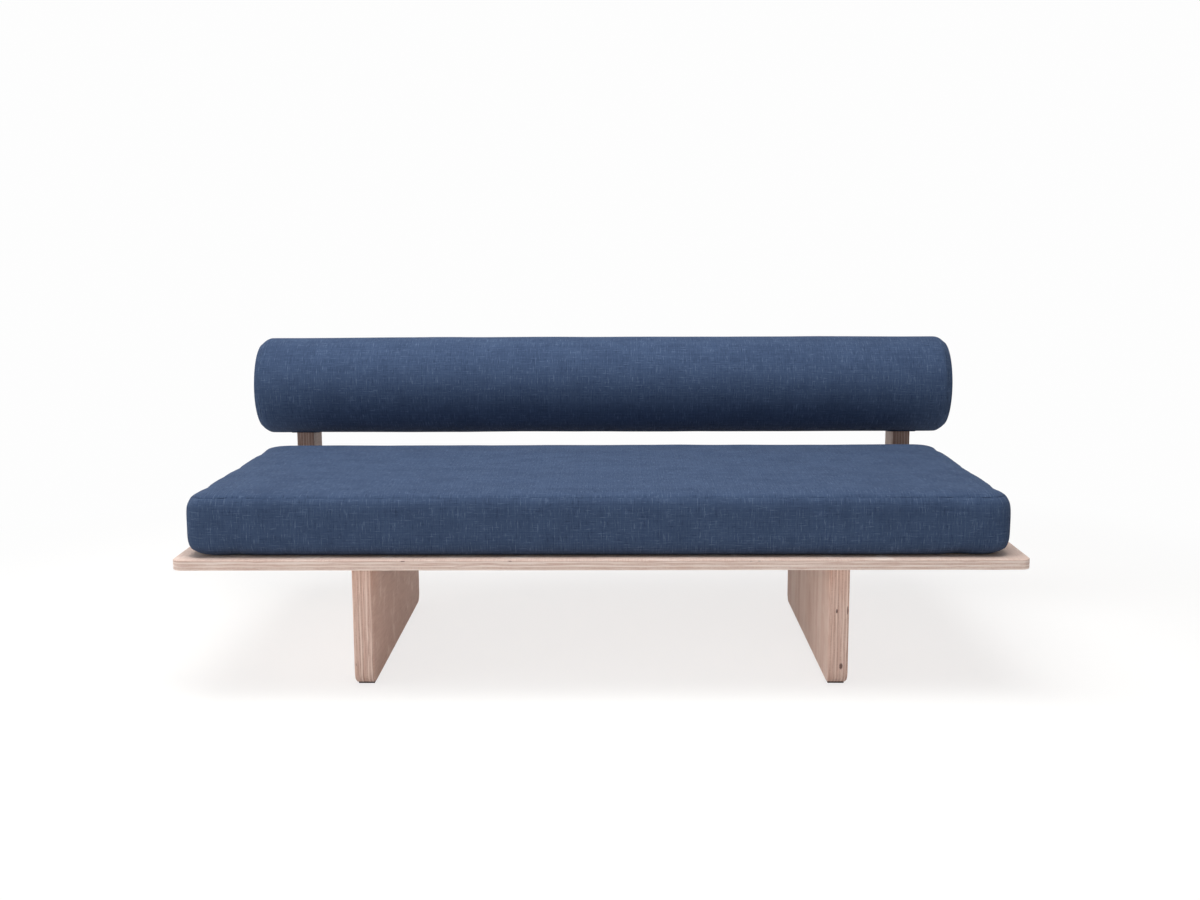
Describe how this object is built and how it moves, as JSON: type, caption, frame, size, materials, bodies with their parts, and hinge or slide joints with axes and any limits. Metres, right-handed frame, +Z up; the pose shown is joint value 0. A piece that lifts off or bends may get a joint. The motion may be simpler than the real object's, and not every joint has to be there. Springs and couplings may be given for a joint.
{
  "type": "daybed sofa",
  "caption": "Low daybed sofa: plywood platform on slab legs, loose blue seat cushion, round bolster back on posts behind it.",
  "frame": {"origin": "on the floor, below the middle of the whole object's box", "axes": "+X along the seat, +Y from front to back, +Z up"},
  "size_m": [1.96, 1.0575, 0.77],
  "materials": {
    "plywood": "matt white wash",
    "blue_weave": "plain weave",
    "foam": "open-cell foam",
    "wadding": "soft",
    "zip_tape": "woven tape",
    "zip_metal": "satin",
    "glide": "matt",
    "brass": "plain",
    "steel": "zinc plated"
  },
  "bodies": {
    "frame": {"platform_panel": "plywood", "left_leg_outer_board": "plywood", "left_leg_inner_board": "plywood", "right_leg_inner_board": "plywood", "right_leg_outer_board": "plywood", "left_leg_glide": "glide", "right_leg_glide": "glide", "left_post_outer_board": "plywood", "left_post_inner_board": "plywood", "right_post_inner_board": "plywood", "right_post_outer_board": "plywood", "leg_brackets": "steel", "bracket_platform_screws": "steel", "bracket_leg_screws": "steel", "platform_inserts": "brass", "leg_inserts": "brass", "post_bolts": "steel", "post_washers": "steel", "post_barrel_nuts": "brass"},
    "seat_cushion": {"seat_foam_core": "foam", "seat_wadding": "wadding", "seat_cover": "blue_weave", "seat_zip_tape": "zip_tape"},
    "seat_zip": {"seat_zip_slider": "zip_metal"},
    "bolster": {"bolster_front_rail": "plywood", "bolster_rear_rail": "plywood", "bolster_spacer_blocks": "plywood", "bolster_stop_blocks": "plywood", "bolster_core_screws": "steel", "bolster_foam": "foam", "bolster_cover": "blue_weave", "bolster_zip_tape": "zip_tape"},
    "bolster_zip": {"bolster_zip_slider": "zip_metal"}
  },
  "joints": [
    {"name": "seat_cushion_slide", "type": "slide", "parent": "frame", "child": "seat_cushion", "axis": [0, -1, 0], "range_m": [0, 0.85]},
    {"name": "seat_zip_travel", "type": "slide", "parent": "seat_cushion", "child": "seat_zip", "axis": [1, 0, 0], "range_m": [0, 1.56]},
    {"name": "bolster_lift", "type": "slide", "parent": "frame", "child": "bolster", "axis": [0, 0, 1], "range_m": [0, 0.2]},
    {"name": "bolster_zip_travel", "type": "slide", "parent": "bolster", "child": "bolster_zip", "axis": [1, 0, 0], "range_m": [0, 1.632]}
  ]
}
